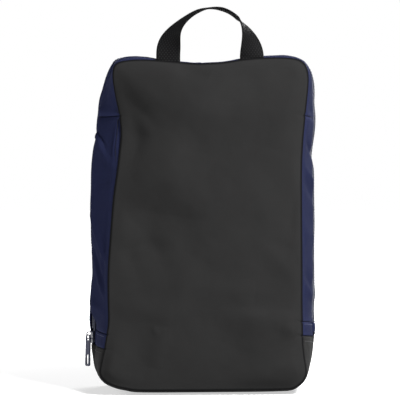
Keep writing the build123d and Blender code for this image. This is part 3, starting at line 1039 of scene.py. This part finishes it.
def front_panels():
    """Lid panel above the fold line and boot panel below it."""
    start = ROWS["boot"][1]
    left, right = (SHELL[side][:, -1] for side in SHELL)
    upper = np.concatenate([left[start:], right[-2 : start - 1 : -1]])
    lower = np.concatenate([right[start::-1], left[1 : start + 1]])
    for name, edge, place, cloth, thickness in (
        ("lid_panel", upper, on_lid, "woven_cloth", CLOTH),
        ("boot_front", lower, on_body, "coated_cloth", CLOTH + 0.3),
    ):
        closing = fold_line(edge[-1], edge[0])
        sewn = np.repeat([1, FOLD_SEAM], [len(edge), len(closing)])
        piece = panel(name, np.concatenate([edge, closing]), sewn, 1, FRONT_Y)
        sew(piece, place, cloth, name, thickness=thickness)


# ---- zip
TAPE_DEPTH = 1.9  # the tape lies this far under the cloth's outer surface
COIL_DEPTH, CORD_DEPTH = 0.85, 0.95  # and the middles of the coils and their cords this far
COIL_APART = 1.3  # distance of each coil's centre from the zip's middle
COIL_PITCH = 1.4
COIL_WIDE, COIL_TALL, COIL_WIRE = 2.9, 2, 0.34  # the wire's radius comes last
CORD_RADIUS = 0.62
CHAIN_END_Z = {"body": 52, "lid": 66}  # heights of the coils' left ends
CHAIN_LAST_Z = BAND_Z - 2  # and of their right ends


def rows_above(left_z, right_z, y=ZIP_Y):
    """First shell rows above a height on the left and on the right, at a depth."""
    heights = zip(SHELL.values(), (left_z, right_z))
    return [int(np.argmax(shell[:, column(y), 2] >= z)) for shell, z in heights]


def shell_at(y, starts, lift=0):
    """Points and normals round the bag at any depth, from its start row on the left to the right one."""
    j = int(np.clip(np.searchsorted(DEPTHS, y) - 1, 0, len(DEPTHS) - 2))
    t = (y - DEPTHS[j]) / (DEPTHS[j + 1] - DEPTHS[j])
    found = []
    for grids in (SHELL, NORMALS):
        left, right = (
            grids[side][start:, j] * (1 - t) + grids[side][start:, j + 1] * t
            for side, start in zip(SHELL, starts)
        )
        found.append(np.concatenate([left, right[::-1][1:]]))
    points, normals = found
    return points + normals * lift, normals


def zip_tape_piece(name, near, far, left_z, place):
    """Tape between two depths, from a height on the left to the boot on the right."""
    starts = rows_above(left_z, BOOT_Z)
    grid = np.stack([shell_at(y, starts, -TAPE_DEPTH)[0] for y in np.linspace(near, far, 8)], 1)
    sew(grid_object(f"{name}_cloth", grid), place, "zip_tape", name, thickness=0.6)


def coil_piece(name, offset, phase, starts):
    """One side's coil: a helix of nylon wire that leans on its tape's edge."""
    centre, normal = shell_at(ZIP_Y + offset, starts, -COIL_DEPTH)
    along = lengths(centre)
    turns = int(along[-1] / COIL_PITCH)
    turn = np.linspace(0, turns - 1, turns * 12)
    at = (turn + phase) * COIL_PITCH
    p, n = read(at, along, centre), read(at, along, normal)
    across = np.cross(n, unit(np.gradient(p, axis=0)))
    angle = turn[:, None] * math.tau
    way = math.copysign(1, offset)
    wire = p + across * np.cos(angle) * way * (COIL_WIDE / 2) + n * np.sin(angle) * (COIL_TALL / 2)
    return mesh_object(name, *tube_mesh(wire, COIL_WIRE, sides=5), COIL)


def cord_core(name, offset, starts):
    """Cord inside a coil, which fills it and holds the stitches."""
    path, _ = shell_at(ZIP_Y + offset, starts, -CORD_DEPTH)
    return mesh_object(name, *tube_mesh(path, CORD_RADIUS, sides=8), NAVY_THREAD)


def zip_stop(name, offset, z):
    """Moulded stop on the end of a coil."""
    p, _ = shell_at(ZIP_Y + offset, rows_above(z, z), -COIL_DEPTH)
    run = p[0] + unit(p[1] - p[0]) * np.array([-1.4, -1.2, -0.6, 0.6, 1.2, 1.4])[:, None]
    return mesh_object(name, *tube_mesh(run, [0.7, 1.2, 1.45, 1.45, 1.2, 0.7], sides=10), COIL)


def zip_pieces():
    """Tapes, coils, cords and stops of both halves of the zip."""
    zip_tape_piece("zip_tape_body", ZIP_Y - 10, ZIP_Y - 0.5, BOOT_Z - 4, on_body)
    zip_tape_piece("zip_tape_lid", ZIP_Y + 0.5, ZIP_Y + 9, BOOT_Z, on_lid)
    halves = (("body", -COIL_APART, 0, on_body), ("lid", COIL_APART, 0.5, on_lid))
    starts = {half: rows_above(z, CHAIN_LAST_Z) for half, z in CHAIN_END_Z.items()}
    for half, offset, phase, place in halves:
        coil = coil_piece(f"zip_coil_{half}_teeth", offset, phase, starts[half])
        place(coil, "zip_coil", f"zip_coil_{half}")
    for half, offset, _, place in halves:
        place(cord_core(f"zip_cord_{half}", offset, starts[half]), "zip_coil")
    for half, offset, _, place in halves:
        stop = zip_stop(f"zip_stop_{half}_moulded", offset, CHAIN_END_Z[half] - 0.6)
        place(stop, "zip_coil", f"zip_stop_{half}")


def end_tab():
    """Folded cloth tab over the zip's fixed end, on the right."""
    first, last = (rows_above(z, z)[1] for z in (BAND_Z - 7, BAND_Z + 5))
    count = last - first + 1
    found = [shell_at(y, (last, first)) for y in np.linspace(ZIP_Y - 6.5, ZIP_Y + 1, 14)]
    p, n = (np.stack([part[::-1][:count] for part in parts], 1) for parts in zip(*found))
    a, b = np.linspace(-1, 1, p.shape[0])[:, None], np.linspace(-1, 1, p.shape[1])
    lift = 0.4 + 1.9 * (1 - a**4) * (1 - b**4)
    piece = grid_object("zip_end_tab_cloth", p + n * lift[:, :, None], flip=True)
    sew(piece, on_body, "woven_cloth", "zip_end_tab", thickness=0.8)


# ---- stitching
STITCH_INSET = 2.6  # distance of the stitches beside the zip from the cloth's edge


def stitched_edges():
    """Topstitching along the zip, the bands and the boot."""
    first = ROWS["band"][0]
    for name, y, start, place in (
        ("body", BODY_EDGE_Y - STITCH_INSET, first + 3, on_body),
        ("lid", LID_EDGE_Y + STITCH_INSET, first + 1, on_lid),
    ):
        place(stitch_row(f"zip_stitches_{name}", *shell_at(y, (start, start)), NAVY_THREAD), "woven_cloth")
    for side in SHELL:
        for name, row, columns, material, lift, slot in (
            ("band", ROWS["band"][1] - 3, slice(4, BODY.stop - 3), NAVY_THREAD, 0.5, "woven_cloth"),
            ("boot", ROWS["boot"][1] - 6, slice(4, -4), BLACK_THREAD, 0, "coated_cloth"),
        ):
            path, normal = strip(side, row, columns, lift), NORMALS[side][row, columns]
            on_body(stitch_row(f"{name}_stitches_{side}", path, normal, material), slot)


BINDING_INSET, BINDING_DEPTH = 7, 3.2
BINDING_WIDE, BINDING_THICK = 4.2, 0.9  # half of each


def bindings():
    """Grosgrain tape folded over the raw seam edges inside."""
    angle = np.linspace(0, math.tau, 16, endpoint=False)[None, :, None]
    for name, y, z, place in (
        ("back_seam_binding", BACK_Y + BINDING_INSET, 9, on_body),
        ("lid_seam_binding", FRONT_Y - BINDING_INSET, HINGE[2] + 3, on_lid),
    ):
        centre, normal = shell_at(y, rows_above(z, z, y), -BINDING_DEPTH)
        wide = np.cos(angle) * np.array([0, BINDING_WIDE, 0])
        rows = centre[:, None] + wide + np.sin(angle) * normal[:, None] * BINDING_THICK
        piece = grid_object(f"{name}_tape", np.concatenate([rows, rows[:, :1]], 1), flip=True)
        close_tube(piece)
        piece.data.materials.append(BINDING)
        place(piece, "binding", name)


# ---- handle
WEB_HALF, WEB_THICK = 12.5, 1.7
WEB_EDGE, RIB_RELIEF = 0.25, 0.42  # the ribs stand on a core that is thinner by WEB_EDGE on each face
HANDLE_POWER = 2.15  # above 2, the arch is squarer than an ellipse
HANDLE_FOOT = 7  # how far the webbing goes down into the seam
# the webbing is edge-on at this share of the arch's rise on the right, and turns with this one on the left
TWIST_DONE, SLOW_TWIST = 0.78, 0.56
ARCH_DROP = 3.8  # how much lower the arch is on its left


def handle_line(count):
    """Centre, outward way and twist of the handle's webbing along its arch."""
    lo, hi = low("handle_webbing"), high("handle_webbing")
    middle = (lo[0] + hi[0]) / 2
    span = (hi[0] - lo[0]) / 2 - WEB_HALF
    base = lo[2]
    rise_to = hi[2] - base - WEB_THICK / 2
    share = np.linspace(0, 1, count)
    way = np.where(share < 0.5, -1, 1)
    reach = np.abs(np.cos(np.pi * share)) ** (2 / HANDLE_POWER)
    rise = np.sin(np.pi * share).clip(0) ** (2 / HANDLE_POWER)
    y = (lo[1] + hi[1]) / 2
    centre = np.stack([middle + way * span * reach, np.full(count, y), base + rise_to * rise], 1)
    power = HANDLE_POWER - 1
    out = np.stack([way * reach**power / span, 0 * share, rise**power / rise_to], 1)
    quick = np.minimum(1, rise / TWIST_DONE)
    slow = 0.95 * (1 - bell(rise, SLOW_TWIST, 1.7))
    centre[:, 2] -= ARCH_DROP * bell(share - 0.3, 0.16)
    return centre, unit(out), np.radians(90 * (slow + (quick - slow) * between(share, 0.42, 0.58)))


def handle():
    centre, out, twist = handle_line(361)
    leg = 12
    down = np.linspace(-HANDLE_FOOT, -0.5, leg)[:, None] * np.array([0, 0, 1])
    centre = np.concatenate([centre[:1] + down, centre, centre[-1:] + down[::-1]])
    out = np.concatenate([np.repeat(out[:1], leg, 0), out, np.repeat(out[-1:], leg, 0)])
    path = resampled(np.hstack([centre, out, np.pad(twist, leg)[:, None]]), 470, 0)
    centre, out, twist = path[:, :3], unit(path[:, 3:6]), path[:, 6:]
    across = out * np.cos(twist) + np.array([0, 1, 0]) * np.sin(twist)
    face = np.cross(unit(np.gradient(centre, axis=0)), across)
    length = lengths(centre)[:, None]
    v = np.linspace(-WEB_HALF, WEB_HALF, 58)
    loop_v = np.append(v, v[::-1])
    loop_side = np.repeat([1, -1], len(v))
    edge = 1 - np.abs(loop_v / WEB_HALF) ** 14
    rib = np.abs(np.sin(np.pi * loop_v / RIB_PITCH)) ** 0.6
    shift = 0.5 * (np.floor(loop_v / RIB_PITCH) % 2)
    pick = np.abs(np.sin(np.pi * (length / PICK_PITCH + shift))) ** 0.7
    relief = RIB_RELIEF * rib * (0.25 + 0.75 * pick)
    height = loop_side * edge * (WEB_THICK / 2 - WEB_EDGE + relief)
    points = centre[:, None] + across[:, None] * loop_v[:, None] + face[:, None] * height[:, :, None]
    points = np.concatenate([points, points[:, :1]], 1)
    rows, columns = points.shape[:2]
    uv = np.stack(np.broadcast_arrays(length, np.append(loop_v, loop_v[0])), -1).reshape(-1, 2)
    piece = mesh_object("handle_strap", points.reshape(-1, 3), grid_faces(rows, columns), WEBBING, uv=uv)
    close_tube(piece)
    named(piece, ["handle_webbing"])
    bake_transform(piece)


# ---- metal, stage, light and camera
def hardware():
    """The slider, its bail and the pull keep the shapes of the CAD."""
    for node in ("slider_body", "slider_bail", "pull_tab"):
        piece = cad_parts[node]
        piece.data.materials.clear()
        piece.data.materials.append(METAL)


# the stage's lengths are metres
FLOOR_REACH, FLOOR_Z = 30, -0.0004
LAMPS = [  # (name, place, aim, width and height, watts)
    ("key", (0.98, -1.36, 1.7), (0, 0, 0.22), (0.6, 0.6), 124),
    ("fill", (-1.75, 0.1, 0.8), (0, 0, 0.2), (0.6, 0.8), 15),
    ("back", (0.9, 1.7, 1.2), (0, 0, 0.25), (1.2, 0.9), 40),
]
CAMERA_TURN, CAMERA_AWAY, CAMERA_Z = -3, 1.8, 0.2024
LENS, LENS_SHIFT = 151.4, -0.0053


def stage():
    """Wide floor just below the bag."""
    mesh = bpy.data.meshes.new("studio_floor")
    corners = [(x * FLOOR_REACH, y * FLOOR_REACH, 0) for x, y in ((-1, -1), (1, -1), (1, 1), (-1, 1))]
    mesh.from_pydata(corners, [], [(0, 1, 2, 3)])
    mesh.materials.append(studio_floor())
    floor = link(bpy.data.objects.new("studio_floor", mesh))
    floor.location.z = FLOOR_Z


def lamp(name, place, aim, size, power):
    data = bpy.data.lights.new(name, "AREA")
    data.shape = "RECTANGLE"
    data.size, data.size_y = size
    data.energy = power
    lamp_object = link(bpy.data.objects.new(name, data))
    lamp_object.location = place
    lamp_object.rotation_euler = (Vector(aim) - Vector(place)).to_track_quat("-Z", "Y").to_euler()


def lights():
    """A sky that is brightest near the horizon and behind the bag, and three lamps."""
    world = bpy.data.worlds.new("studio")
    world.use_nodes = True
    sky = Nodes(world.node_tree)
    split = sky.node("SeparateXYZ", Vector=sky.node("TexCoord").outputs["Generated"])
    low_sky = sky.smooth_range(split.outputs["Z"], 0.14, 0.4, 1, 0.12)
    behind = sky.smooth_range(split.outputs["Y"], -0.15, 0.75, 0.3, 1)
    background = sky.tree.nodes["Background"]
    sky.feed(background.inputs["Color"], (1, 1, 1))
    sky.feed(background.inputs["Strength"], sky.math("MULTIPLY", low_sky, behind))
    bpy.context.scene.world = world
    for settings in LAMPS:
        lamp(*settings)


def camera():
    data = bpy.data.cameras.new("camera")
    data.lens = LENS
    data.shift_x = LENS_SHIFT
    turn = math.radians(CAMERA_TURN)
    taken = link(bpy.data.objects.new("camera", data))
    taken.location = (math.sin(turn) * CAMERA_AWAY, -math.cos(turn) * CAMERA_AWAY, CAMERA_Z)
    taken.rotation_euler = (math.pi / 2, 0, turn)
    bpy.context.scene.camera = taken
    bpy.context.scene.view_settings.view_transform = "Standard"


camera()
stage()
lights()
gusset_pieces()
seam_tapes()
base_piece()
back_panel()
front_panels()
zip_pieces()
end_tab()
stitched_edges()
bindings()
handle()
hardware()
